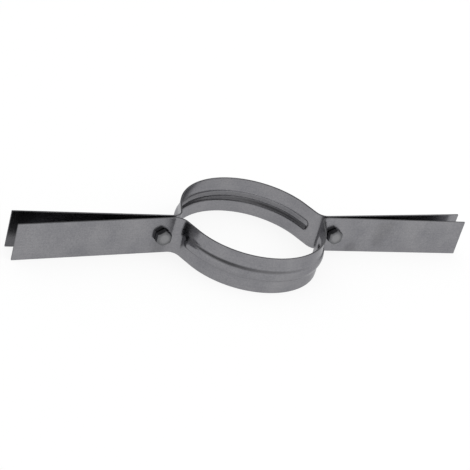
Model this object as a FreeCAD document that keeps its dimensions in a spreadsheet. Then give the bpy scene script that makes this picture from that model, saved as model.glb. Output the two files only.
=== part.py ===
"""Flue liner clamp: two pressed steel half bands that close round a flue liner, held by two bolts.

Each half band is one strip standing on its edge. From end to end it is an arm, a bend, a straight
shoulder, an arc of the ring, and the same again in mirror order. A bead pressed outwards along the ring
stiffens it, and leaves a groove round the inside. The ring grips the liner above and below that groove,
and the arms lie on the masonry and carry the liner's weight.

Millimetres, +Z up. The origin is on the ring's axis, at the height of the strips' lower edges. The arms
run along X, and the back half band lies at +Y.
"""
import FreeCAD, Part
import Sketcher
import math
import os

V = FreeCAD.Vector
NEAR = 0.001  # two lengths this close are the same

SIZES = [
    ("strip_width", 35.0, "height of the strip on its edge"),
    ("strip_thickness", 1.5, "thickness of the strip"),
    ("ring_radius", 64.5, "inner radius of the ring"),
    ("shoulder_angle", 19.5, "degrees between the arc's end and the arms' line"),
    ("bend_radius", 8.8, "hollow side radius of the bend from shoulder to arm"),
    ("arm_reach", 218.4, "ring's axis to the end of an arm"),
    ("bolt_room", 1.3, "room between the bend and a nut's corner"),
    ("left_gap", 2.9, "gap between the two strips at the left bolt"),
    ("right_gap", 1.8, "gap between the two strips at the right bolt"),
    ("front_left_set", 4.3, "degrees that the front strip's left arm is set back"),
    ("front_right_set", 2.5, "degrees that the front strip's right arm is set back"),
    ("back_left_set", 2.4, "degrees that the back strip's left arm is set back"),
    ("back_right_set", 1.7, "degrees that the back strip's right arm is set back"),
    ("bead_depth", 2.25, "how far the bead stands out from the strip's face"),
    ("bead_bend_radius", 4.0, "bend radius along the bead, at the middle of the strip's thickness"),
    ("bead_crest", 2.8, "flat crest of the bead"),
    ("bead_run", 6.8, "length of the bead along each shoulder, before its round end"),
    ("thread_diameter", 8.0, "bolt thread's outer diameter"),
    ("bolt_length", 25.0, "bolt length under the head"),
    ("thread_chamfer", 0.9, "chamfer at the bolt's end"),
    ("across_flats", 13.0, "width across flats of the head and the nut"),
    ("head_height", 5.3, "height of the bolt's head"),
    ("washer_face_radius", 5.8, "radius of the raised bearing face under the head"),
    ("washer_face_height", 0.4, "height of the raised bearing face"),
    ("corner_slope", 30.0, "degrees of the chamfer on the hexagon's corners"),
    ("nut_height", 6.5, "height of the nut"),
    ("nut_countersink", 0.6, "countersink at the outer mouth of the nut's thread"),
    ("hole_clearance", 0.5, "radial clearance of the bolt in the strips' holes"),
    ("thread_clearance", 0.05, "radial running clearance of the nut on the bolt"),
    ("seat_clearance", 0.03, "gap left where a head or a nut bears on a strip"),
    ("left_head_turn", 0.0, "degrees that the left head is turned from corner up"),
    ("right_head_turn", 0.0, "degrees that the right head is turned from corner up"),
    ("nut_turn", 0.0, "degrees that the nuts are turned from corner up"),
]

doc = FreeCAD.newDocument("flue_liner_clamp")
sheet = doc.addObject("Spreadsheet::Sheet", "sizes")
for row, (alias, value, meaning) in enumerate(SIZES, start=1):
    sheet.set(f"A{row}", meaning)
    sheet.set(f"B{row}", str(value))
    sheet.setAlias(f"B{row}", alias)
doc.recompute()


def size(alias):
    """A size from the sheet, for placing a sketch's first guess."""
    return float(getattr(sheet, alias))


# The bend's centre, were the clamp closed with its arms straight, and the bolt's axis past it

BEND_CENTRE = ("((sizes.ring_radius + (sizes.bend_radius + sizes.strip_thickness)"
               " * (1 - sin(sizes.shoulder_angle * 1 deg))) / cos(sizes.shoulder_angle * 1 deg))")
BOLT_REACH = f"({BEND_CENTRE} + sizes.across_flats / sqrt(3) + sizes.bolt_room)"


def bolt_reach():
    """The same distance, from the ring's axis to a bolt's axis, for a first guess."""
    shoulder = math.radians(size("shoulder_angle"))
    full = size("bend_radius") + size("strip_thickness")
    bend_centre = (size("ring_radius") + full * (1 - math.sin(shoulder))) / math.cos(shoulder)
    return bend_centre + size("across_flats") / math.sqrt(3) + size("bolt_room")


def new_body(label):
    body = doc.addObject("PartDesign::Body", label)
    body.Label = label
    return body


def new_sketch(body, name, role, offset=None, turn=None, about=V(0, 1, 0)):
    """A sketch on one of the body's origin planes, moved by offset and turned about one of its own axes."""
    plane = next(f for f in body.Origin.OriginFeatures if f.Role == role)
    sketch = body.newObject("Sketcher::SketchObject", name)
    sketch.AttachmentSupport = [(plane, "")]
    sketch.MapMode = "FlatFace"
    if turn:
        sketch.AttachmentOffset = FreeCAD.Placement(V(0, 0, 0), FreeCAD.Rotation(about, 1))
        sketch.setExpression("AttachmentOffset.Rotation.Angle", f"({turn}) * 1 deg")
    for axis, expression in (offset or {}).items():
        sketch.setExpression(f"AttachmentOffset.Base.{axis}", f"({expression}) * 1 mm")
    return sketch


def end_at(sketch, geometry, point):
    """Which end of a line or an arc lies at the point: 1 for its start, 2 for its end."""
    piece = sketch.Geometry[geometry]
    near_start = (piece.StartPoint - point).Length < (piece.EndPoint - point).Length
    return 1 if near_start else 2


def join(sketch, kind, first, second, point):
    """Join two pieces of an outline at the point, smoothly for Tangent or at a corner for Coincident."""
    ends = (first, end_at(sketch, first, point), second, end_at(sketch, second, point))
    sketch.addConstraint(Sketcher.Constraint(kind, *ends))


def drive(sketch, kind, references, first_guess, expression, unit="mm"):
    """Add a dimension whose value follows the sheet."""
    index = sketch.addConstraint(Sketcher.Constraint(kind, *references, first_guess))
    sketch.setExpression(f"Constraints[{index}]", f"({expression}) * 1 {unit}")


def line(sketch, start, end):
    return sketch.addGeometry(Part.LineSegment(start, end), False)


def arc(sketch, centre, radius, start_angle, end_angle):
    circle = Part.Circle(centre, V(0, 0, 1), radius)
    return sketch.addGeometry(Part.ArcOfCircle(circle, start_angle, end_angle), False)


def extrude(body, kind, name, sketch, length=None, reverse=False, both_ways=False):
    """A Pad or a Pocket of the sketch; with no length it goes through everything."""
    feature = body.newObject(f"PartDesign::{kind}", name)
    feature.Profile = sketch
    if length:
        feature.setExpression("Length", f"({length}) * 1 mm")
    else:
        feature.Type = "ThroughAll"
    feature.Reversed = reverse
    feature.Midplane = both_ways
    return feature


def spin(body, kind, name, sketch, axis, angle="360", reverse=False, both_ways=False):
    """A Revolution or a Groove of the sketch about its own H_Axis or V_Axis."""
    feature = body.newObject(f"PartDesign::{kind}", name)
    feature.Profile = sketch
    feature.ReferenceAxis = (sketch, [axis])
    feature.setExpression("Angle", f"({angle}) * 1 deg")
    feature.Reversed = reverse
    feature.Midplane = both_ways
    return feature


# The strip seen from above

def strip_side(sketch, side, rings, gap, set_back):
    """One side of a half band's plan: shoulder, bend and arm, on both faces. side is 1 right, -1 left."""
    slope = math.radians(size(set_back))
    shoulder = math.radians(size("shoulder_angle"))
    hollow = size("bend_radius")
    full = hollow + size("strip_thickness")
    radial = V(math.cos(shoulder), math.sin(shoulder), 0)
    facing = V(math.sin(slope), -math.cos(slope), 0)
    along = V(math.cos(slope), math.sin(slope), 0)
    pin = V(bolt_reach(), size(gap) / 2, 0)
    # the bend's centre lies one full radius off the arm's inner face and off the shoulder's inner face
    to_arm = full - facing.dot(pin)
    to_shoulder = size("ring_radius") + full
    spread = math.cos(shoulder - slope)
    centre = V(
        (to_shoulder * math.cos(slope) - to_arm * math.sin(shoulder)) / spread,
        (to_arm * math.cos(shoulder) + to_shoulder * math.sin(slope)) / spread,
        0,
    )
    tip = pin + along * ((size("arm_reach") - pin.x) / along.x)

    def placed(point):
        return V(side * point.x, point.y, 0)

    def left_to_right(start, end):
        return (start, end) if side == 1 else (end, start)

    def bend(radius):
        angles = (math.pi + shoulder, 1.5 * math.pi + slope)
        if side == -1:
            angles = (3 * math.pi - angles[1], 3 * math.pi - angles[0])
        return arc(sketch, placed(centre), radius, *angles)

    faces = []
    for ring, ring_radius, radius in (
        (rings[0], size("ring_radius"), full),
        (rings[1], size("ring_radius") + size("strip_thickness"), hollow),
    ):
        arc_end = placed(radial * ring_radius)
        bend_start = placed(centre - radial * radius)
        bend_end = placed(centre + facing * radius)
        arm_end = placed(tip - facing * (full - radius))
        shoulder_line = line(sketch, *left_to_right(arc_end, bend_start))
        bend_arc = bend(radius)
        arm_line = line(sketch, *left_to_right(bend_end, arm_end))
        join(sketch, "Tangent", ring, shoulder_line, arc_end)
        join(sketch, "Tangent", shoulder_line, bend_arc, bend_start)
        join(sketch, "Tangent", bend_arc, arm_line, bend_end)
        faces.append((shoulder_line, bend_arc, arm_line, arm_end))

    (inner_shoulder, inner_bend, inner_arm, inner_end), (_, outer_bend, outer_arm, outer_end) = faces
    cut = line(sketch, inner_end, outer_end)
    join(sketch, "Coincident", inner_arm, cut, inner_end)
    join(sketch, "Coincident", outer_arm, cut, outer_end)
    sketch.addConstraint(Sketcher.Constraint("Perpendicular", cut, inner_arm))
    sketch.addConstraint(Sketcher.Constraint("Parallel", outer_arm, inner_arm))
    sketch.addConstraint(Sketcher.Constraint("Coincident", outer_bend, 3, inner_bend, 3))
    drive(sketch, "Radius", (outer_bend,), hollow, "sizes.bend_radius")
    drive(sketch, "Radius", (inner_bend,), full, "sizes.bend_radius + sizes.strip_thickness")
    drive(sketch, "Angle", (inner_arm,), side * slope, f"{side} * sizes.{set_back}", "deg")
    shoulder_turn = side * (shoulder - math.pi / 2)
    drive(sketch, "Angle", (inner_shoulder,), shoulder_turn, f"{side} * (sizes.shoulder_angle - 90)", "deg")

    # the arm's inner face passes half the gap from the middle plane, at the bolt
    mark = sketch.addGeometry(Part.Point(placed(pin)), True)
    sketch.addConstraint(Sketcher.Constraint("PointOnObject", mark, 1, inner_arm))
    origin = (-1, 1)
    across = (origin, (mark, 1)) if side == 1 else ((mark, 1), origin)
    drive(sketch, "DistanceX", across[0] + across[1], pin.x, BOLT_REACH)
    drive(sketch, "DistanceY", (*origin, mark, 1), pin.y, f"sizes.{gap} / 2")
    corner = (inner_arm, end_at(sketch, inner_arm, inner_end))
    reach = (origin, corner) if side == 1 else (corner, origin)
    drive(sketch, "DistanceX", reach[0] + reach[1], tip.x, "sizes.arm_reach")


def strip_plan(body, left_set, right_set):
    """The whole outline of a half band from above, as one closed loop."""
    sketch = new_sketch(body, "strip_plan", "XY_Plane")
    shoulder = math.radians(size("shoulder_angle"))
    rings = []
    for extra, expression in ((0, "sizes.ring_radius"),
                              (size("strip_thickness"), "sizes.ring_radius + sizes.strip_thickness")):
        radius = size("ring_radius") + extra
        ring = arc(sketch, V(0, 0, 0), radius, shoulder, math.pi - shoulder)
        sketch.addConstraint(Sketcher.Constraint("Coincident", ring, 3, -1, 1))
        drive(sketch, "Radius", (ring,), radius, expression)
        rings.append(ring)
    strip_side(sketch, 1, rings, "right_gap", right_set)
    strip_side(sketch, -1, rings, "left_gap", left_set)
    return sketch


# The bead's section, drawn as distance from the ring's axis against height over the strip's middle

def bead_section(body, name, outer, half=False, offset=None, turn=None):
    """What lies between the strip's face and the bead: a flat crest, and an S bend on each flank.

    On the outer face it is the rib that stands out, and on the inner face the groove behind it. A half
    section stops at the middle, and is turned about that line to make the bead's round end.
    """
    where = {"y": "sizes.strip_width / 2", **(offset or {})}
    sketch = new_sketch(body, name, "YZ_Plane", where, turn)
    thickness = size("strip_thickness")
    bend = size("bead_bend_radius")
    side = 1 if outer else -1
    face = size("ring_radius") + (thickness if outer else 0)
    crest = face + size("bead_depth")
    crest_radius = bend + side * thickness / 2
    foot_radius = bend - side * thickness / 2
    flank = math.acos(1 - size("bead_depth") / (2 * bend))
    flat = size("bead_crest") / 2
    foot = flat + 2 * bend * math.sin(flank)

    crest_end = V(crest, 0 if half else -flat, 0)
    face_end = V(face, 0 if half else -foot, 0)
    face_line = line(sketch, V(face, foot, 0), face_end)
    crest_line = line(sketch, V(crest, flat, 0), crest_end)
    for up in ((1,) if half else (1, -1)):
        crest_angles = sorted((0, up * flank))
        foot_angles = sorted((math.pi, math.pi + up * flank))
        crest_arc = arc(sketch, V(crest - crest_radius, up * flat, 0), crest_radius, *crest_angles)
        foot_arc = arc(sketch, V(face + foot_radius, up * foot, 0), foot_radius, *foot_angles)
        middle = V(face + foot_radius * (1 - math.cos(flank)), up * (foot - foot_radius * math.sin(flank)), 0)
        join(sketch, "Tangent", crest_line, crest_arc, V(crest, up * flat, 0))
        join(sketch, "Tangent", crest_arc, foot_arc, middle)
        join(sketch, "Tangent", foot_arc, face_line, V(face, up * foot, 0))
        drive(sketch, "Radius", (crest_arc,), crest_radius,
              f"sizes.bead_bend_radius + {side} * sizes.strip_thickness / 2")
        drive(sketch, "Radius", (foot_arc,), foot_radius,
              f"sizes.bead_bend_radius - {side} * sizes.strip_thickness / 2")
    sketch.addConstraint(Sketcher.Constraint("Vertical", face_line))
    if half:
        middle_line = line(sketch, crest_end, face_end)
        join(sketch, "Coincident", crest_line, middle_line, crest_end)
        join(sketch, "Coincident", face_line, middle_line, face_end)
        sketch.addConstraint(Sketcher.Constraint("Vertical", crest_line))
        sketch.addConstraint(Sketcher.Constraint("PointOnObject", middle_line, 1, -1))
        sketch.addConstraint(Sketcher.Constraint("PointOnObject", middle_line, 2, -1))
    else:
        sketch.addConstraint(Sketcher.Constraint("Symmetric", crest_line, 1, crest_line, 2, -1))
    share = 2 if half else 1
    drive(sketch, "DistanceY", (crest_line, 2, crest_line, 1), 2 * flat / share, f"sizes.bead_crest / {share}")
    drive(sketch, "DistanceX", (-1, 1, face_line, 1), face,
          f"sizes.ring_radius + {int(outer)} * sizes.strip_thickness")
    drive(sketch, "DistanceX", (face_line, 1, crest_line, 1), size("bead_depth"), "sizes.bead_depth")
    return sketch


def press_bead(body):
    """Press the bead into a half band: round the arc, then straight along each shoulder to a round end."""
    for outer in (True, False):
        add, turn_about, word = ("Pad", "Revolution", "rib") if outer else ("Pocket", "Groove", "groove")
        round_arc = bead_section(body, f"{word}_section", outer)
        spin(body, turn_about, f"{word}_arc", round_arc, "V_Axis", "180 - 2 * sizes.shoulder_angle", both_ways=True)
        for side, hand in ((1, "right"), (-1, "left")):
            turn = f"{side} * (sizes.shoulder_angle - 90)"
            run = bead_section(body, f"{word}_{hand}_run_section", outer, turn=turn)
            outwards = (side == -1) == outer
            extrude(body, add, f"{word}_{hand}_run", run, "sizes.bead_run", reverse=outwards)
            past_run = {
                "x": "-sizes.bead_run * cos(sizes.shoulder_angle * 1 deg)",
                "z": f"{side} * sizes.bead_run * sin(sizes.shoulder_angle * 1 deg)",
            }
            end = bead_section(body, f"{word}_{hand}_end_section", outer, half=True, offset=past_run, turn=turn)
            spin(body, turn_about, f"{word}_{hand}_end", end, "H_Axis", "180", reverse=side == -1)


def bolt_holes(body):
    """A round clearance hole through each arm, at the strip's middle height."""
    sketch = new_sketch(body, "bolt_holes", "XZ_Plane", {"y": "sizes.strip_width / 2"})
    radius = size("thread_diameter") / 2 + size("hole_clearance")
    for side in (1, -1):
        circle = sketch.addGeometry(Part.Circle(V(side * bolt_reach(), 0, 0), V(0, 0, 1), radius), False)
        sketch.addConstraint(Sketcher.Constraint("PointOnObject", circle, 3, -1))
        ends = (-1, 1, circle, 3) if side == 1 else (circle, 3, -1, 1)
        drive(sketch, "DistanceX", ends, bolt_reach(), BOLT_REACH)
        drive(sketch, "Radius", (circle,), radius, "sizes.thread_diameter / 2 + sizes.hole_clearance")
    extrude(body, "Pocket", "bolt_hole_cut", sketch, both_ways=True)


def half_band(label, left_set, right_set):
    """One pressed strip, drawn as the back one. The arms' set-back angles are the only difference."""
    body = new_body(label)
    extrude(body, "Pad", "strip", strip_plan(body, left_set, right_set), "sizes.strip_width")
    press_bead(body)
    bolt_holes(body)
    return body


back_band = half_band("back_band", "back_left_set", "back_right_set")

# The front band is the same pressing turned over, end for end about the arms' line
front_band = half_band("front_band", "front_left_set", "front_right_set")
front_band.Placement = FreeCAD.Placement(V(0, 0, 0), FreeCAD.Rotation(V(1, 0, 0), 180))
front_band.setExpression("Placement.Base.z", "sizes.strip_width * 1 mm")


# The bolts and nuts, drawn with their axis along Z and their bearing face at zero

def hexagon(body, name, turn):
    """A hexagon across flats, with a corner up before its turn."""
    sketch = new_sketch(body, name, "XY_Plane", turn=f"sizes.{turn}", about=V(0, 0, 1))
    corner_radius = size("across_flats") / math.sqrt(3)
    guide = sketch.addGeometry(Part.Circle(V(0, 0, 0), V(0, 0, 1), corner_radius), True)
    sketch.addConstraint(Sketcher.Constraint("Coincident", guide, 3, -1, 1))
    drive(sketch, "Radius", (guide,), corner_radius, "sizes.across_flats / sqrt(3)")
    corners = [V(0, corner_radius, 0)]
    for _ in range(5):
        corners.append(FreeCAD.Rotation(V(0, 0, 1), 60).multVec(corners[-1]))
    sides = [line(sketch, corner, following) for corner, following in zip(corners, corners[1:] + corners[:1])]
    for this, following in zip(sides, sides[1:] + sides[:1]):
        sketch.addConstraint(Sketcher.Constraint("Coincident", this, 2, following, 1))
        sketch.addConstraint(Sketcher.Constraint("PointOnObject", this, 1, guide))
    for other in sides[1:]:
        sketch.addConstraint(Sketcher.Constraint("Equal", sides[0], other))
    sketch.addConstraint(Sketcher.Constraint("PointOnObject", sides[0], 1, -2))
    return sketch


def disc(body, name, radius, expression):
    """A circle about the axis, in the bearing face's plane."""
    sketch = new_sketch(body, name, "XY_Plane")
    circle = sketch.addGeometry(Part.Circle(V(0, 0, 0), V(0, 0, 1), radius), False)
    sketch.addConstraint(Sketcher.Constraint("Coincident", circle, 3, -1, 1))
    drive(sketch, "Radius", (circle,), radius, expression)
    return sketch


def turn_down_corners(body, name, end, inwards):
    """Turn a hexagon's corners down to a cone at one end. inwards is 1 where the metal lies above it."""
    sketch = new_sketch(body, f"{name}_section", "XZ_Plane", {"y": end})
    flat = size("across_flats") / 2
    width = size("across_flats") / 10
    rise = inwards * width * math.tan(math.radians(size("corner_slope")))
    corners = [V(flat, 0, 0), V(flat + width, 0, 0), V(flat + width, rise, 0)]
    sides = [line(sketch, corners[i - 1], corners[i]) for i in range(3)]
    for i in range(3):
        sketch.addConstraint(Sketcher.Constraint("Coincident", sides[i - 1], 2, sides[i], 1))
    cone, face, outside = sides
    sketch.addConstraint(Sketcher.Constraint("PointOnObject", face, 1, -1))
    sketch.addConstraint(Sketcher.Constraint("Horizontal", face))
    sketch.addConstraint(Sketcher.Constraint("Vertical", outside))
    drive(sketch, "DistanceX", (-1, 1, face, 1), flat, "sizes.across_flats / 2")
    drive(sketch, "DistanceX", (face, 1, face, 2), width, "sizes.across_flats / 10")
    drive(sketch, "DistanceY", (outside, 1, outside, 2), rise,
          f"{inwards} * sizes.across_flats / 10 * tan(sizes.corner_slope * 1 deg)")
    spin(body, "Groove", name, sketch, "V_Axis")


def chamfer_rim(body, name, width, radius, height):
    """Chamfer the round rim of this radius that lies at this height."""
    doc.recompute()
    base = body.Tip
    rims = []
    for number, edge in enumerate(base.Shape.Edges, start=1):
        if isinstance(edge.Curve, Part.Circle) and abs(edge.Curve.Radius - radius) < NEAR:
            if abs(edge.Curve.Center.z - height) < NEAR:
                rims.append(f"Edge{number}")
    chamfer = body.newObject("PartDesign::Chamfer", name)
    chamfer.Base = (base, rims)
    chamfer.setExpression("Size", f"sizes.{width} * 1 mm")


def bolt(label, turn):
    """A hexagon bolt: forged head with a raised bearing face, plain round shank as wide as its thread."""
    body = new_body(label)
    extrude(body, "Pad", "washer_face",
            disc(body, "washer_face_circle", size("washer_face_radius"), "sizes.washer_face_radius"),
            "sizes.washer_face_height", reverse=True)
    head = extrude(body, "Pad", "head", hexagon(body, "head_hexagon", turn),
                   "sizes.head_height - sizes.washer_face_height", reverse=True)
    head.Profile[0].setExpression("AttachmentOffset.Base.z", "-sizes.washer_face_height * 1 mm")
    turn_down_corners(body, "head_corners", "-sizes.head_height", 1)
    radius = size("thread_diameter") / 2
    extrude(body, "Pad", "shank", disc(body, "shank_circle", radius, "sizes.thread_diameter / 2"),
            "sizes.bolt_length")
    chamfer_rim(body, "shank_end", "thread_chamfer", radius, size("bolt_length"))
    return body


def nut(label):
    """A hexagon nut, with its corners turned down and its thread's mouth countersunk at the outer end."""
    body = new_body(label)
    extrude(body, "Pad", "block", hexagon(body, "block_hexagon", "nut_turn"), "sizes.nut_height")
    turn_down_corners(body, "outer_corners", "sizes.nut_height", -1)
    radius = size("thread_diameter") / 2 + size("thread_clearance")
    extrude(body, "Pocket", "bore",
            disc(body, "bore_circle", radius, "sizes.thread_diameter / 2 + sizes.thread_clearance"),
            both_ways=True)
    chamfer_rim(body, "countersink", "nut_countersink", radius, size("nut_height"))
    return body


# Both ends have a bolt through the holes, its head on the front and its nut behind. A head or a nut bears
# where the strip, which leans away from it or towards it by the arm's set, stands out furthest under it.

def seat(body, side, front, gap, bearing_radius, set_back):
    """Lay the piece's axis along +Y at a bolt's place, with its bearing face on the outside of a strip."""
    body.Placement = FreeCAD.Placement(V(0, 0, 0), FreeCAD.Rotation(V(1, 0, 0), -90))
    lean = f"sizes.{set_back} * 1 deg"
    stack = (f"sizes.{gap} / 2 + {bearing_radius} * tan({lean})"
             f" + sizes.strip_thickness / cos({lean}) + sizes.seat_clearance")
    body.setExpression("Placement.Base.x", f"{side} * {BOLT_REACH} * 1 mm")
    body.setExpression("Placement.Base.y", f"{-1 if front else 1} * ({stack}) * 1 mm")
    body.setExpression("Placement.Base.z", "sizes.strip_width / 2 * 1 mm")


fasteners = []
for side, hand in ((-1, "left"), (1, "right")):
    gap = f"{hand}_gap"
    screw = bolt(f"{hand}_bolt", f"{hand}_head_turn")
    seat(screw, side, True, gap, "sizes.washer_face_radius", f"front_{hand}_set")
    holder = nut(f"{hand}_nut")
    seat(holder, side, False, gap, "sizes.across_flats / 2", f"back_{hand}_set")
    fasteners += [screw, holder]

doc.recompute()
for item in doc.Objects:
    if "Invalid" in item.State or "Error" in item.State:
        raise RuntimeError(f"{item.Label} failed: {item.State}")
pieces = [front_band, back_band, *fasteners]
for body in pieces:
    if body.Shape.isNull() or not body.Shape.isValid() or len(body.Shape.Solids) != 1:
        raise RuntimeError(f"{body.Label} is not one sound solid")

os.makedirs("parts", exist_ok=True)
for body in pieces:
    body.Shape.exportStep(f"parts/{body.Label}.step")
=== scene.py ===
"""Flue liner clamp, seen a little from above and from the left, standing on a white floor.

Metres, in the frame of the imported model: +Z up the ring's axis, +X along the arms, the nuts at +Y.
"""
import math

import bpy
import mathutils
import numpy as np
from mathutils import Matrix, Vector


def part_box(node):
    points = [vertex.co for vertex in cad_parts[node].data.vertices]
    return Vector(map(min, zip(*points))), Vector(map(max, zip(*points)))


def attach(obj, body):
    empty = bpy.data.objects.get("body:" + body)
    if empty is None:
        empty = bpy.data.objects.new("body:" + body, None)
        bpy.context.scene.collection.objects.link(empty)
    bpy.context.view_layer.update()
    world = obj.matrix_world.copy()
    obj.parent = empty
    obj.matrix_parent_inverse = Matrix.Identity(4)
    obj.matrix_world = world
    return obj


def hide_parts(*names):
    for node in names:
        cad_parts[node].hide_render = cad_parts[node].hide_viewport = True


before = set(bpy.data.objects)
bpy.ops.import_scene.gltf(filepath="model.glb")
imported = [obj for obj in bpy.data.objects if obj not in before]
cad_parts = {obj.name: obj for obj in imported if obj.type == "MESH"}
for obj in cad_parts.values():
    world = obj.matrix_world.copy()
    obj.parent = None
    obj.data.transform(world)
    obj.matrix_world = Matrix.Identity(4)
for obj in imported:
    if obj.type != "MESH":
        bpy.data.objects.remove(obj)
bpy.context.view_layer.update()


# The two half bands. Each is one sheared strip of mill-finish steel, 35 mm wide, pressed to half a ring with
# a straight shoulder, a tight bend and a long arm at each side. A bead is pressed outwards round the ring,
# and the arms are punched for the bolts. The front band is the same pressing turned over.

MM = 0.001
strip_width = 35 * MM
strip_thickness = 1.5 * MM
ring_radius = 64.5 * MM
shoulder_angle = math.radians(19.5)
bend_radius = 8.8 * MM
arm_reach = 218.4 * MM
hole_radius = 4.5 * MM
edge_radius = 0.3 * MM

# steps round half a hole, round a cut end and round a long edge
hole_steps = 24
end_steps = 4
edge_steps = 3

# a length below this counts as nothing, and a fold of more than this angle is shaded sharp
hairline = 1e-9
sharp_fold = math.radians(40)

# the bead's bends are rounder here than in the solids, with the same depth, so that its lines are as soft as
# the photograph shows them
bead_depth = 2.25 * MM
bead_bend_radius = 7.4 * MM
bead_crest = 0.4 * MM
bead_run = 5.8 * MM

right_bolt_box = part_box("right_bolt")
bolt_reach = (right_bolt_box[0][0] + right_bolt_box[1][0]) / 2
half_gap = {"left": 1.45 * MM, "right": 0.9 * MM}
arm_set = {
    "front": {"left": math.radians(4.3), "right": math.radians(2.5)},
    "back": {"left": math.radians(2.4), "right": math.radians(1.7)},
}


def strip_legs(gap, set_back):
    """Lengths and curvatures of the strip's middle line, from the top of the ring out along one side.

    The bend's centre lies one full radius off the shoulder's inner face and off the arm's inner face, and
    the arm's inner face passes half the gap from the middle plane at the bolt.
    """
    half = strip_thickness / 2
    full = bend_radius + strip_thickness
    outwards = np.array([math.cos(shoulder_angle), math.sin(shoulder_angle)])
    down = np.array([math.sin(shoulder_angle), -math.cos(shoulder_angle)])
    facing = np.array([math.sin(set_back), -math.cos(set_back)])
    along = np.array([math.cos(set_back), math.sin(set_back)])
    pin = np.array([bolt_reach, gap])
    centre = np.linalg.solve([outwards, facing], [ring_radius + full, facing @ pin - full])
    tip = pin + along * (arm_reach - pin[0]) / along[0]
    turn = math.pi / 2 - shoulder_angle
    return [
        ((ring_radius + half) * turn, -1 / (ring_radius + half)),
        (centre @ down, 0.0),
        ((bend_radius + half) * (turn + set_back), 1 / (bend_radius + half)),
        ((tip - centre) @ along, 0.0),
    ]


def step_along(at, angle, curve, distance):
    """Places and headings at distances along an arc or a line that leaves a place at an angle.

    The heading grows by curvature times distance, and the place is the heading's integral.
    """
    heading = angle + curve * distance
    if curve:
        across = np.sin(heading) - math.sin(angle)
        up = math.cos(angle) - np.cos(heading)
        moved = np.stack([across, up], axis=1) / curve
    else:
        moved = distance[:, None] * np.array([math.cos(angle), math.sin(angle)])
    return at + moved, heading


def follow(legs, distance):
    """Places and headings at distances along the legs, one leg after the other."""
    place, heading = np.zeros((len(distance), 2)), np.zeros(len(distance))
    start, at, angle = 0.0, np.array([0.0, ring_radius + strip_thickness / 2]), 0.0
    for length, curve in legs:
        here = distance >= start
        place[here], heading[here] = step_along(at, angle, curve, distance[here] - start)
        end, end_heading = step_along(at, angle, curve, np.array([length]))
        start, at, angle = start + length, end[0], end_heading[0]
    return place, heading


def bead_profile(away):
    """Depth and slope of the bead at a distance from its middle line, and how far off the bead's foot is.

    A flat crest, an arc that falls away from it, an arc of the same radius that meets the strip, and nothing.
    """
    flank = math.acos(1 - bead_depth / (2 * bead_bend_radius))
    crest = bead_crest / 2
    foot = crest + 2 * bead_bend_radius * math.sin(flank)
    middle = (crest + foot) / 2
    top = np.clip(away - crest, 0, middle - crest)
    toe = np.clip(foot - away, 0, foot - middle)
    top_drop = np.sqrt(bead_bend_radius**2 - top**2)
    toe_rise = np.sqrt(bead_bend_radius**2 - toe**2)
    depth = np.where(away < middle, bead_depth - bead_bend_radius + top_drop, bead_bend_radius - toe_rise)
    slope = np.where(away < middle, -top / top_drop, -toe / toe_rise)
    return depth, slope, foot


def spans(*stops):
    """Samples from stop to stop. Each stop is a place and how far apart the samples before it may lie."""
    runs = [np.array([stops[0][0]])]
    for (low, _), (high, apart) in zip(stops, stops[1:]):
        runs.append(np.linspace(low, high, max(1, math.ceil((high - low) / apart)) + 1)[1:])
    return np.concatenate(runs)


def side_samples(legs, set_back):
    """Distances along one side, the hole's middle, and the arm's end.

    They lie close together at the bead's end, in the bend, at the hole and at the cut end. At the hole they
    are a radius times the cosine of even angles, so that they divide its rim evenly.
    """
    ring, shoulder, bend, arm = (length for length, _ in legs)
    bead_end = ring + bead_run
    bead_foot = bead_profile(np.zeros(1))[2]
    arm_start = ring + shoulder + bend
    end = arm_start + arm
    arm_start_reach = follow(legs, np.array([arm_start]))[0][0, 0]
    hole = arm_start + (bolt_reach - arm_start_reach) / math.cos(set_back)
    before = spans((0, 0), (bead_end, 1.4 * MM), (bead_end + bead_foot, 0.4 * MM),
                   (ring + shoulder, 0.4 * MM), (arm_start, 0.5 * MM), (hole - hole_radius, 1.5 * MM))
    rim = hole - hole_radius * np.cos(np.linspace(0, math.pi, hole_steps + 1)[1:])
    after = spans((hole + hole_radius, 0), (hole + 3 * hole_radius, 2 * MM),
                  (end - 2 * edge_radius, 5 * MM), (end - edge_radius, edge_radius))[1:]
    rounded = end - edge_radius * (1 - np.sin(np.linspace(0, math.pi / 2, end_steps + 1)[1:]))
    return np.concatenate([before, rim, after, rounded]), hole, end


def laid_out(sets):
    """The strip's samples from the left arm's end to the right one's, as five columns, and the bead's end.

    The columns are the place and the heading in plan, how far the hole opens to each side of the strip's
    middle, how far the section draws in at a cut end, and the distance from the top of the ring, negative on
    the left. Each side is followed outwards from the top of the ring, and the left one is then reversed.
    """
    sides = []
    for hand, sign in (("left", -1), ("right", 1)):
        legs = strip_legs(half_gap[hand], sets[hand])
        distance, hole, end = side_samples(legs, sets[hand])
        place, heading = follow(legs, distance)
        opening = np.sqrt(np.clip(hole_radius**2 - (distance - hole) ** 2, 0, None))
        into_round = np.clip(edge_radius - (end - distance), 0, edge_radius)
        tuck = edge_radius - np.sqrt(edge_radius**2 - into_round**2)
        columns = (place * [sign, 1], heading * sign, opening, tuck, distance * sign)
        sides.append([column[:0:-1] if sign == -1 else column for column in columns])
    return [np.concatenate(pair) for pair in zip(*sides)], legs[0][0] + bead_run


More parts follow.
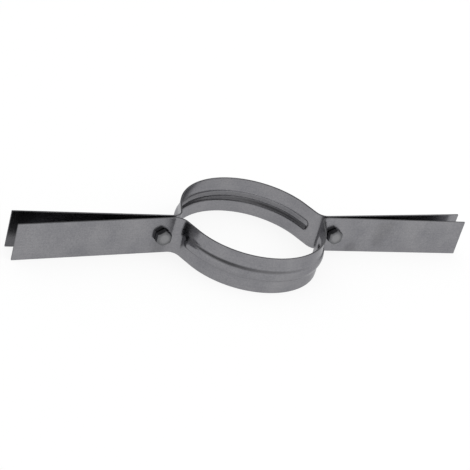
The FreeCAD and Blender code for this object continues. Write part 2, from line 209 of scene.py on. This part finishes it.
def half_section():
    """Height over the strip's middle, side and roundness of each point of half the strip's section.

    It runs from the middle of the outer face, at side 1, up over the rounded edge to the middle of the inner
    face, at side -1. Roundness is how far a point is along the rounded edge: 0 on a face, 1 on the rim.
    """
    foot = bead_profile(np.zeros(1))[2]
    top = strip_width / 2
    face = spans((0, 0), (bead_crest / 2, 0.5 * MM), (foot, 0.45 * MM),
                 (top - 3 * edge_radius, 1.6 * MM), (top - edge_radius, edge_radius))
    corner = np.linspace(0, math.pi / 2, edge_steps + 1)[1:]
    inset = edge_radius * (1 - np.cos(corner))
    height = np.concatenate([face, top - edge_radius * (1 - np.sin(corner))])
    side = np.concatenate([np.ones(len(face)), 1 - inset / (strip_thickness / 2)])
    roundness = np.concatenate([np.zeros(len(face)), corner / (math.pi / 2)])
    there_and_back = [(height, height), (side, -side), (roundness, roundness)]
    return [np.concatenate([there, back[::-1]]) for there, back in there_and_back]


# painted shade and painted highlights on the groove's wall: the share of its colour kept at heights in mm
# over the groove's middle, fading at its ends
groove_painted_light = [(-7.0, 1.0), (-4.5, 0.73), (-3.8, 0.72), (-2.2, 1.1), (-0.8, 0.69), (0.8, 0.72), (2.2, 0.82),
                (3.2, 1.0), (4.1, 1.6), (5.2, 1.0)]
groove_fade = 12 * MM

# painted shade on the inner faces of the left arms, where they face each other: it reaches this far from
# their ends, and there they keep this much of their colour
end_shade_reach = 26 * MM
end_shade_fade = 12 * MM
end_shade_kept = 0.5


def inner_painted_light(rise, along, bead_end):
    """How much colour each place on a band's inner face keeps: painted shade and painted highlights.

    Across the groove it follows the listed stops of painted shade and highlight, faded out at the bead's
    ends.
    Near the left arm's end it is multiplied by the share kept in the painted shade where the arms face each
    other.
    """
    heights, shares = zip(*groove_painted_light)
    across = np.interp(rise, np.array(heights) * MM, shares)
    near = np.clip((bead_end + 2 * bead_depth - np.abs(along)) / groove_fade, 0, 1)[:, None]
    # painted shade where the left arms face each other, near their ends
    end_shade = np.clip((end_shade_reach - (along - along[0])) / end_shade_fade, 0, 1)[:, None]
    return (1 + (across - 1) * near) * (1 + (end_shade_kept - 1) * end_shade)


def half_skin(half, strip, bead_end, height, side, turned_over):
    """Points, UVs and painted shade and highlights of the skin's upper half, at 1, or its lower half, at -1.

    They lie on a grid: the strip's samples by the way round half its section. A point lies on the strip's
    middle surface, half a thickness off it along its normal. The middle surface is the plan's line raised
    in Z, moved out by the bead's depth at that distance from the bead's middle line, which ends in a point,
    so that the bead ends round. At the hole the heights start at its rim instead of the strip's middle. At
    a cut end the section draws in along a quarter circle.
    """
    line, heading, opening, tuck, along = strip
    level_plane = np.zeros(len(along))
    tangent = np.stack([np.cos(heading), np.sin(heading), level_plane], axis=1)[:, None, :]
    inwards = np.stack([np.sin(heading), -np.cos(heading), level_plane], axis=1)[:, None, :]
    upwards = np.array([0.0, 0.0, 1.0])
    plan = np.column_stack([line, level_plane + strip_width / 2])[:, None, :]

    clear_of_edge = strip_width / 2 - 4 * edge_radius
    level = height + opening[:, None] * np.clip(1 - height / clear_of_edge, 0, 1)
    level = half * level * (1 - tuck / (strip_width / 2))[:, None]
    past_end = np.clip(np.abs(along) - bead_end, 0, None)[:, None]
    away = np.hypot(past_end, level)
    depth, slope, _ = bead_profile(away)
    middle = plan - inwards * depth[..., None] + upwards * level[..., None]

    over = np.where(away > 0, away, 1)
    slope_along = slope * past_end / over * np.sign(along)[:, None]
    slope_up = slope * level / over
    normal = -inwards - slope_along[..., None] * tangent - slope_up[..., None] * upwards
    normal /= np.linalg.norm(normal, axis=2, keepdims=True)
    offset = side * strip_thickness / 2 * (1 - tuck / (strip_thickness / 2))[:, None]
    points = middle + normal * offset[..., None]

    inner = side < 0
    across = level + np.where(inner, strip_width, 0)
    uv = np.stack([np.broadcast_to(along[:, None], level.shape), across], axis=2)
    rise = -level if turned_over else level
    # painted shade and painted highlights on the inner face
    painted_light_and_patches = np.where(inner, inner_painted_light(rise, along, bead_end), 1)
    return points.reshape(-1, 3), uv.reshape(-1, 2), painted_light_and_patches.ravel()


def half_band_faces(opening, columns):
    """Faces of both halves of the skin, of the hole's rim from face to face, and of the cut ends.

    The lower half's corners are numbered after the upper half's, and it uses the upper half's corners along
    the middle of each face, apart from the hole's rim. The upper half's faces are turned, so that both
    halves point outwards.
    """
    rows = len(opening)
    first = (np.arange(rows - 1)[:, None] * columns + np.arange(columns - 1)[None, :]).ravel()
    skin = np.stack([first, first + columns, first + columns + 1, first + 1], axis=1)
    is_open = opening > hairline
    at_hole = np.nonzero(is_open[:-1] | is_open[1:])[0] * columns
    rim = np.stack([at_hole, at_hole + columns - 1, at_hole + 2 * columns - 1, at_hole + columns], axis=1)
    step = np.arange(columns // 2 - 1)
    left_end = np.stack([step, step + 1, columns - 2 - step, columns - 1 - step], axis=1)
    right_end = left_end[:, ::-1] + (rows - 1) * columns
    upper = np.concatenate([skin, rim, left_end, right_end])
    lower = upper + rows * columns

    twin = np.arange(2 * rows * columns)
    shared = np.nonzero(~is_open)[0] * columns
    for edge in (shared, shared + columns - 1):
        twin[edge + rows * columns] = edge
    return twin[np.concatenate([upper[:, ::-1], lower])]


def mesh_piece(name, points, faces, body, material, uv=None, attributes=None):
    """An object of these points and arrays of faces, smooth but for sharp folds, that rides on a body."""
    mesh = bpy.data.meshes.new(name)
    mesh.from_pydata(points.tolist(), [], [face for group in faces for face in group.tolist()])
    for label, values in (attributes or {}).items():
        mesh.attributes.new(label, "FLOAT", "POINT").data.foreach_set("value", values.astype(np.float32))
    if uv is not None:
        corner_points = np.zeros(len(mesh.loops), dtype=np.int32)
        mesh.loops.foreach_get("vertex_index", corner_points)
        mesh.uv_layers.new(name="strip").data.foreach_set("uv", uv[corner_points].astype(np.float32).ravel())
    mesh.polygons.foreach_set("use_smooth", np.ones(len(mesh.polygons), dtype=bool))
    mesh.set_sharp_from_angle(angle=sharp_fold)
    mesh.materials.append(material)
    piece = bpy.data.objects.new(name, mesh)
    bpy.context.scene.collection.objects.link(piece)
    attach(piece, body)
    return piece


def half_band(which, material):
    """A half band: the upper and lower halves of its skin, joined, and the front band turned over about X.

    Each point knows how far it lies on a sheared rim, at the strip's edges or its ends, and its painted shade
    and highlights.
    """
    turned_over = which == "front"
    strip, bead_end = laid_out(arm_set[which])
    _, _, opening, tuck, _ = strip
    height, side, roundness = half_section()
    halves = [half_skin(half, strip, bead_end, height, side, turned_over) for half in (1, -1)]
    points, uv, painted_light_and_patches = (np.concatenate(both) for both in zip(*halves))
    if turned_over:
        points = points * [1, -1, -1] + [0, 0, strip_width]
    sheared = np.tile(np.maximum(roundness, (tuck / edge_radius)[:, None]).ravel(), 2)
    faces = half_band_faces(opening, len(height))
    kept, numbers = np.unique(faces, return_inverse=True)
    marks = {"sheared": sheared[kept], "painted_light_and_patches": painted_light_and_patches[kept]}
    band = mesh_piece(f"{which}_half_band", points[kept], [numbers.reshape(faces.shape)], which,
                      material, uv[kept], marks)
    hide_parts(f"{which}_band")


def node_maker(owner):
    """A function that adds a node to a material or world, sets or links its inputs, and returns it."""
    tree = owner.node_tree

    def add(kind, inputs=None, **settings):
        node = tree.nodes.new(kind)
        for name, value in settings.items():
            setattr(node, name, value)
        for name, value in (inputs or {}).items():
            if isinstance(value, bpy.types.NodeSocket):
                tree.links.new(value, node.inputs[name])
            else:
                node.inputs[name].default_value = value
        return node

    return add


def new_material(name):
    """An empty material, and the function that adds its nodes."""
    material = bpy.data.materials.new(name)
    material.use_nodes = True
    material.node_tree.nodes.clear()
    return material, node_maker(material)


def noise(add, place, scale, detail, roughness):
    """Noise around one half, with about as many lumps to the metre as the scale."""
    inputs = {"Vector": place, "Scale": scale, "Detail": detail, "Roughness": roughness}
    return add("ShaderNodeTexNoise", inputs).outputs["Fac"]


def mapped(add, value, low, high, at_low, at_high, interpolation="LINEAR"):
    """A value's way from low to high, carried over to the way from at_low to at_high."""
    inputs = {"Value": value, "From Min": low, "From Max": high, "To Min": at_low, "To Max": at_high}
    return add("ShaderNodeMapRange", inputs, interpolation_type=interpolation).outputs["Result"]


def mixed(add, share, first, second):
    """The first value at a share of nought, the second at one."""
    inputs = {"Factor": share, "A": first, "B": second}
    return add("ShaderNodeMix", inputs, data_type="FLOAT").outputs["Result"]


def mixed_colour(add, share, first, second):
    """The first colour at a share of nought, the second at one."""
    return add("ShaderNodeMix", {0: share, 6: first, 7: second}, data_type="RGBA").outputs[2]


def ramp(add, value, low, dark, high, light):
    """The dark colour up to the low value, the light one from the high value on, a blend between them."""
    node = add("ShaderNodeValToRGB", {"Fac": value})
    for stop, position, colour in zip(node.color_ramp.elements, (low, high), (dark, light)):
        stop.position = position
        stop.color = colour
    return node.outputs["Color"]


def steel_surface(add, colour, roughness, height, strength, distance):
    """The metal's shader, roughened by a height pattern. At a glancing angle steel mirrors a little less."""
    bump = add("ShaderNodeBump", {"Strength": strength, "Distance": distance, "Height": height})
    shader = add("ShaderNodeBsdfPrincipled", {
        "Base Color": colour,
        "Metallic": 1.0,
        "Roughness": roughness,
        "Normal": bump.outputs["Normal"],
        "Specular Tint": (0.72, 0.72, 0.73, 1),
    })
    add("ShaderNodeOutputMaterial", {"Surface": shader.outputs["BSDF"]})


# middles of the darker patches on the right arm and of the painted shadow under the left bolt, and their
# reach
dark_patches_and_bolt_shadow = [
    ((0.142, 0.0, 0.030), 0.014),
    ((0.137, 0.0, 0.019), 0.010),
    ((0.112, 0.003, 0.009), 0.010),
    # a painted shadow under the left bolt
    ((-0.080, 0.003, 0.012), 0.012),
]

# the share of colour that a mark's middle keeps, and how far noise moves its outline about
mark_kept = 0.84
mark_wander = 0.012


def darkened_at_marks(add, place, painted_light_and_patches):
    """The colour's share, less at the darker patches and at the painted shadow under the left bolt.

    Noise moves each mark's outline about, so that none is round.
    """
    wander = add("ShaderNodeTexNoise", {"Vector": place, "Scale": 150.0, "Detail": 2.0}).outputs["Color"]
    inputs = {0: wander, 1: (mark_wander, mark_wander, mark_wander), 2: place}
    moved = add("ShaderNodeVectorMath", inputs, operation="MULTIPLY_ADD").outputs["Vector"]
    for centre, reach in dark_patches_and_bolt_shadow:
        away = add("ShaderNodeVectorMath", {0: moved, 1: centre}, operation="DISTANCE").outputs["Value"]
        left = mapped(add, away, 0.3 * reach, reach, mark_kept, 1.0, "SMOOTHSTEP")
        painted_light_and_patches = add("ShaderNodeMath", {0: painted_light_and_patches, 1: left}, operation="MULTIPLY").outputs[0]
    return painted_light_and_patches


def mill_steel():
    """Rolled strip: cloudy sheen, fine grain, rolling lines, darker patches and rims, painted shade and
    highlights.
    """
    material, add = new_material("strip_steel")
    uv = add("ShaderNodeUVMap", uv_map="strip").outputs["UV"]
    place = add("ShaderNodeTexCoord").outputs["Object"]
    clouds = noise(add, place, 50.0, 3.0, 0.5)
    grain = noise(add, place, 700.0, 3.0, 0.7)
    stretched = add("ShaderNodeMapping", {"Vector": uv, "Scale": (22.0, 1500.0, 1.0)}).outputs["Vector"]
    rolling_lines = noise(add, stretched, 1.0, 3.0, 0.6)
    fine = mixed(add, 0.3, grain, rolling_lines)
    mottle = mixed(add, 0.65, clouds, fine)
    plate = ramp(add, mottle, 0.36, (0.190, 0.190, 0.205, 1), 0.64, (0.285, 0.282, 0.293, 1))
    sheared = add("ShaderNodeAttribute", attribute_name="sheared").outputs["Fac"]
    plate = mixed_colour(add, sheared, plate, (0.17, 0.17, 0.178, 1))
    # painted shade and highlights on the groove, painted shade at the left arms' ends and under the left bolt
    painted_light_and_patches = darkened_at_marks(add, place, add("ShaderNodeAttribute", attribute_name="painted_light_and_patches").outputs["Fac"])
    colour = add("ShaderNodeVectorMath", {0: plate, "Scale": painted_light_and_patches}, operation="SCALE").outputs["Vector"]
    roughness = mapped(add, clouds, 0.3, 0.7, 0.19, 0.27)
    steel_surface(add, colour, roughness, fine, 0.12, 0.0002)
    return material


strip_steel = mill_steel()
for which in ("front", "back"):
    half_band(which, strip_steel)


# The two bolts. Each is a cold-forged hexagon bolt, M8 by 25, threaded to near the head, plain steel. It goes
# through both arms from the front.

thread_pitch = 1.25 * MM
thread_radius = 4.0 * MM
thread_depth = 0.767 * MM
thread_chamfer = 0.9 * MM
thread_end_gap = 0.02 * MM
plain_shank = thread_pitch
thread_start = 1.2 * thread_pitch
rings_per_pitch = 10

# the thread's crest is an eighth of a pitch wide, and its flanks stand at 60 degrees to the axis
crest_half = thread_pitch / 16
flank_slope = math.tan(math.radians(60))

across_flats = 13.0 * MM
face_radius = across_flats / 2 - 0.3 * MM
corner_rounding = 0.5 * MM
corner_slope = math.radians(30)
edge_softness = 0.25 * MM
head_height = 5.3 * MM
washer_face_radius = 5.8 * MM
washer_face_height = 0.4 * MM
washer_face_chamfer = 0.15 * MM

# where a hexagon's flat is sampled, in degrees from its corner, and how often the rounded corner is
flat_degrees = [4, 9, 15, 21, 30, 39, 45, 51, 56]
corner_samples = 5

# the shallow dish that forging leaves in the head's face: shares of the face's radius and of the dish's depth
dish_depth = 0.35 * MM
dish_profile = [(0.15, 1.0), (0.45, 1.0), (0.62, 0.3), (0.72, 0.0), (0.9, 0.0)]

# the head's face carries a painted highlight up to this radius, which fades over this width
face_highlight_radius = 5.3 * MM
face_highlight_fade = 2 * MM


def way_round():
    """Angles round a hexagon, with a corner at zero, and its radius at each. The corners are rounded.

    Between corners the radius is half the width across flats over the cosine of the angle from the flat's
    middle. At a corner it is the far side of a small circle that touches both flats.
    """
    half = across_flats / 2
    sixth = math.radians(60)
    centre = (half - corner_rounding) / math.cos(sixth / 2)
    touch = centre + corner_rounding * math.cos(sixth / 2)
    reach = math.atan2(corner_rounding * math.sin(sixth / 2), touch)
    from_corner = np.concatenate([np.linspace(-reach, reach, corner_samples), np.radians(flat_degrees)])
    angle = np.sort((sixth * np.arange(6)[:, None] + from_corner[None, :]).ravel())
    apart = (angle + sixth / 2) % sixth - sixth / 2
    flat = half / np.cos(sixth / 2 - np.abs(apart))
    inside = np.clip(corner_rounding**2 - (centre * np.sin(apart)) ** 2, 0, None)
    round_corner = centre * np.cos(apart) + np.sqrt(inside)
    return angle, np.where(np.abs(apart) < reach, round_corner, flat)


def wrap(angle, rings, joined):
    """A closed surface of rings about an axis. rings holds pairs of a radius and a height for each angle.

    A corner is its radius along the direction of its angle, and its height along the axis. If joined, the
    first ring follows the last, as round a bore. If not, each end is drawn to a point on the axis.
    """
    radius = np.stack([np.broadcast_to(r, angle.shape) for r, _ in rings])
    height = np.stack([np.broadcast_to(h, angle.shape) for _, h in rings])
    points = np.stack([radius * np.sin(angle), height, radius * np.cos(angle)], axis=2).reshape(-1, 3)
    count = len(angle)
    this = np.arange(count)
    following = (this + 1) % count
    row = np.arange(len(rings) if joined else len(rings) - 1)[:, None] * count
    next_row = (row + count) % len(points)
    around = [row + this, row + following, next_row + following, next_row + this]
    faces = [np.stack(around, axis=2).reshape(-1, 4)]
    if not joined:
        last = len(points) - count
        start_tip = np.full(count, len(points))
        faces.append(np.stack([start_tip, following, this], axis=1))
        faces.append(np.stack([start_tip + 1, last + this, last + following], axis=1))
        points = np.concatenate([points, [[0.0, height[0, 0], 0.0], [0.0, height[-1, 0], 0.0]]])
    return points, faces


def hexagon_end(flat, height, into_metal):
    """Rings over a hexagon's end, from its flat face outwards over the turned-down corners to its side.

    The corners fall away from the face along a cone, and the edge is rounded off in two steps. into_metal is
    the way into the metal along the axis, 1 or -1.
    """
    rings = []
    soft = edge_softness
    for radius, drop in ((face_radius, 0), (flat - soft, 0), (flat - 0.3 * soft, 0.3 * soft), (flat, soft)):
        radius = np.maximum(radius, face_radius)
        cone = np.clip(radius - face_radius, 0, None) * math.tan(corner_slope)
        rings.append((radius, height + into_metal * (cone + drop)))
    return rings


def thread(angle, low, high, tip):
    """Rings of a right-handed thread from low to high. Its crest winds up the axis once round per pitch.

    The radius falls from the flat crest along 60 degree flanks to the flat root, by the distance along the
    axis from the crest. At the tip it stays inside the chamfer's cone.
    """
    rings = []
    for height in np.arange(low, high + hairline, thread_pitch / rings_per_pitch):
        turn = height / thread_pitch - angle / (2 * math.pi)
        from_crest = np.abs(turn - np.round(turn)) * thread_pitch
        cut = np.clip((from_crest - crest_half) * flank_slope, 0, thread_depth)
        end_cone = thread_radius - thread_chamfer + (tip - height)
        rings.append((np.minimum(thread_radius - cut, end_cone), height))
    return rings


def bolt(hand, material):
    """A bolt as one surface round its axis: dished head, hexagon, raised bearing face, shank, thread, tip."""
    low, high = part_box(f"{hand}_bolt")
    length = high[1] - low[1] - head_height
    angle, flat = way_round()
    rings = [(share * face_radius, -head_height + left * dish_depth) for share, left in dish_profile]
    rings += hexagon_end(flat, -head_height, 1)
    rings += [
        (flat, -washer_face_height - washer_face_chamfer),
        (flat - washer_face_chamfer, -washer_face_height),
        (washer_face_radius, -washer_face_height),
        (washer_face_radius, 0.0),
        (thread_radius, 0.0),
        (thread_radius, plain_shank),
    ]
    rings += thread(angle, thread_start, length - thread_end_gap, length)
    rings += [(thread_radius - thread_chamfer, length)]
    points, faces = wrap(angle, rings, False)
    from_axis = np.hypot(points[:, 0], points[:, 2])
    on_face = points[:, 1] < -head_height + 2 * dish_depth
    # a painted highlight on the head's face
    face_highlight = np.where(on_face, np.clip((face_highlight_radius - from_axis) / face_highlight_fade, 0, 1), 0)
    centre = [(low[0] + high[0]) / 2, low[1] + head_height, (low[2] + high[2]) / 2]
    piece = mesh_piece(f"{hand}_hexagon_bolt", points + centre, faces, "front", material,
                       attributes={"face_highlight": face_highlight})
    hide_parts(f"{hand}_bolt")


def plain_steel():
    """Forged and turned steel: darker than the strip, finely mottled, with a painted highlight on the head's
    face.
    """
    material, add = new_material("bolt_steel")
    place = add("ShaderNodeTexCoord").outputs["Object"]
    mottle = noise(add, place, 420.0, 4.0, 0.6)
    tone = ramp(add, mottle, 0.35, (0.115, 0.116, 0.122, 1), 0.65, (0.165, 0.166, 0.172, 1))
    face_highlight = add("ShaderNodeAttribute", attribute_name="face_highlight").outputs["Fac"]
    colour = mixed_colour(add, face_highlight, tone, (0.25, 0.25, 0.256, 1))
    roughness = mapped(add, mottle, 0.3, 0.7, 0.24, 0.36)
    steel_surface(add, colour, roughness, mottle, 0.1, 0.0001)
    return material


bolt_steel = plain_steel()
for hand in ("left", "right"):
    bolt(hand, bolt_steel)


# The two nuts. Each is a plain hexagon nut, M8, chamfered at both ends, behind the back band's arm. It turns
# on its bolt's thread and bears on the arm.

nut_height = 6.5 * MM
nut_bore = 4.05 * MM
nut_countersink = 0.6 * MM


def nut(hand, material):
    """A nut as one closed surface: bore, countersink, bearing end, hexagon, outer end, countersink."""
    low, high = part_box(f"{hand}_nut")
    angle, flat = way_round()
    mouth = nut_bore + nut_countersink
    rings = [(nut_bore, nut_height / 2), (nut_bore, nut_countersink), (mouth, 0.0)]
    rings += hexagon_end(flat, 0.0, 1)
    rings += hexagon_end(flat, nut_height, -1)[::-1]
    rings += [(mouth, nut_height), (nut_bore, nut_height - nut_countersink)]
    points, faces = wrap(angle, rings, True)
    centre = [(low[0] + high[0]) / 2, low[1], (low[2] + high[2]) / 2]
    piece = mesh_piece(f"{hand}_hexagon_nut", points + centre, faces, f"{hand}_nut", material)
    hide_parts(f"{hand}_nut")


for hand in ("left", "right"):
    nut(hand, bolt_steel)


# The white floor, the room and the soft light of a photographer's table. The floor shows white to the camera
# and in reflections, and keeps a faint shadow. The room is white near the floor and dark overhead, darkest on
# the left, so that what leans back on the metal turns dark.

floor_reach = 4.0
floor_white = 0.95
floor_glow = 0.85
wall_foot = 0.05
wall_top = 0.38
brighter_side = (0.94, -0.34, 0.0)
overhead_dark = 0.2
overhead_bright = 0.55
overhead_blend = 0.5


def seen_directly(add):
    """One for rays from the camera, in reflections and through glass, nought for those that carry light."""
    rays = add("ShaderNodeLightPath").outputs
    seen = add("ShaderNodeMath", {0: rays["Is Camera Ray"], 1: rays["Is Glossy Ray"]}, operation="MAXIMUM")
    seen = add("ShaderNodeMath", {0: seen.outputs[0], 1: rays["Is Transmission Ray"]}, operation="MAXIMUM")
    return seen.outputs[0]


def white_floor():
    """White paint, and where it is seen directly a share of plain white, which leaves the shadow faint."""
    material, add = new_material("white_floor")
    share = add("ShaderNodeMath", {0: seen_directly(add), 1: floor_glow}, operation="MULTIPLY").outputs[0]
    paint = add("ShaderNodeBsdfDiffuse", {"Color": (floor_white, floor_white, floor_white, 1)}).outputs[0]
    white = add("ShaderNodeEmission", {"Strength": 1.0}).outputs[0]
    painted = add("ShaderNodeMixShader", {0: share, 1: paint, 2: white}).outputs[0]
    add("ShaderNodeOutputMaterial", {"Surface": painted})
    return material


floor_mesh = bpy.data.meshes.new("floor")
floor_corners = floor_reach * np.array([[-1, -1, 0], [1, -1, 0], [1, 1, 0], [-1, 1, 0]])
floor_mesh.from_pydata(floor_corners.tolist(), [], [[0, 1, 2, 3]])
floor_mesh.materials.append(white_floor())
floor = bpy.data.objects.new("floor", floor_mesh)
bpy.context.scene.collection.objects.link(floor)


def white_room():
    """A world that lights evenly. Seen directly, its walls fade by the ray's rise from white to the overhead.

    The overhead grows brighter with the ray's share of the brighter side's direction.
    """
    world = bpy.data.worlds.new("white_room")
    world.use_nodes = True
    world.node_tree.nodes.clear()
    add = node_maker(world)
    direction = add("ShaderNodeTexCoord").outputs["Generated"]
    rise = add("ShaderNodeSeparateXYZ", {"Vector": direction}).outputs["Z"]
    inputs = {0: direction, 1: brighter_side}
    sideways = add("ShaderNodeVectorMath", inputs, operation="DOT_PRODUCT").outputs["Value"]
    blend = (-overhead_blend, overhead_blend)
    overhead = mapped(add, sideways, *blend, overhead_dark, overhead_bright, "SMOOTHSTEP")
    wall = mapped(add, rise, wall_foot, wall_top, 1.0, overhead, "SMOOTHSTEP")
    seen = add("ShaderNodeBackground", {"Color": (1, 1, 1, 1), "Strength": wall}).outputs[0]
    light = add("ShaderNodeBackground", {"Color": (1, 1, 1, 1), "Strength": 1.0}).outputs[0]
    surroundings = add("ShaderNodeMixShader", {0: seen_directly(add), 1: light, 2: seen}).outputs[0]
    add("ShaderNodeOutputWorld", {"Surface": surroundings})
    return world


def softbox(name, at, target, width, height, power):
    """A rectangular lamp that faces a point."""
    lamp = bpy.data.lights.new(name, "AREA")
    lamp.shape = "RECTANGLE"
    lamp.size, lamp.size_y, lamp.energy = width, height, power
    box = bpy.data.objects.new(name, lamp)
    bpy.context.scene.collection.objects.link(box)
    back = np.array(at) - np.array(target)
    yaw = math.atan2(back[0], -back[1])
    tilt = math.atan2(math.hypot(back[0], back[1]), back[2])
    box.location = at
    box.rotation_euler = (tilt, 0, yaw)


scene = bpy.context.scene
scene.world = white_room()
softbox("key_softbox", at=(1.3, -0.5, 1.5), target=(0, 0, 0), width=1.6, height=1.6, power=6)
scene.view_settings.view_transform = "Standard"


# The camera stands where the photographer's did, before the clamp, to its left and above it, and is tilted
# sideways. Its lens covers the photograph's 470 pixels.

view_azimuth = math.radians(-30.935)
view_elevation = math.radians(29.683)
view_roll = math.radians(16.438)
view_distance = 1328.0 * MM
view_target = np.array([-13.37, 0.0, 15.89]) * MM
photo_width = 470
focal_pixels = 1515.35

camera_data = bpy.data.cameras.new("camera")
camera_data.sensor_width = 36.0
camera_data.lens = focal_pixels * camera_data.sensor_width / photo_width
camera = bpy.data.objects.new("camera", camera_data)
scene.collection.objects.link(camera)
level_back = np.array([math.sin(view_azimuth), -math.cos(view_azimuth), 0.0]) * math.cos(view_elevation)
back = level_back + [0.0, 0.0, math.sin(view_elevation)]
camera.location = view_target + back * view_distance
camera.rotation_mode = "QUATERNION"
upright = mathutils.Vector(-back).to_track_quat("-Z", "Y")
camera.rotation_quaternion = upright @ mathutils.Quaternion((0, 0, 1), view_roll)
scene.camera = camera
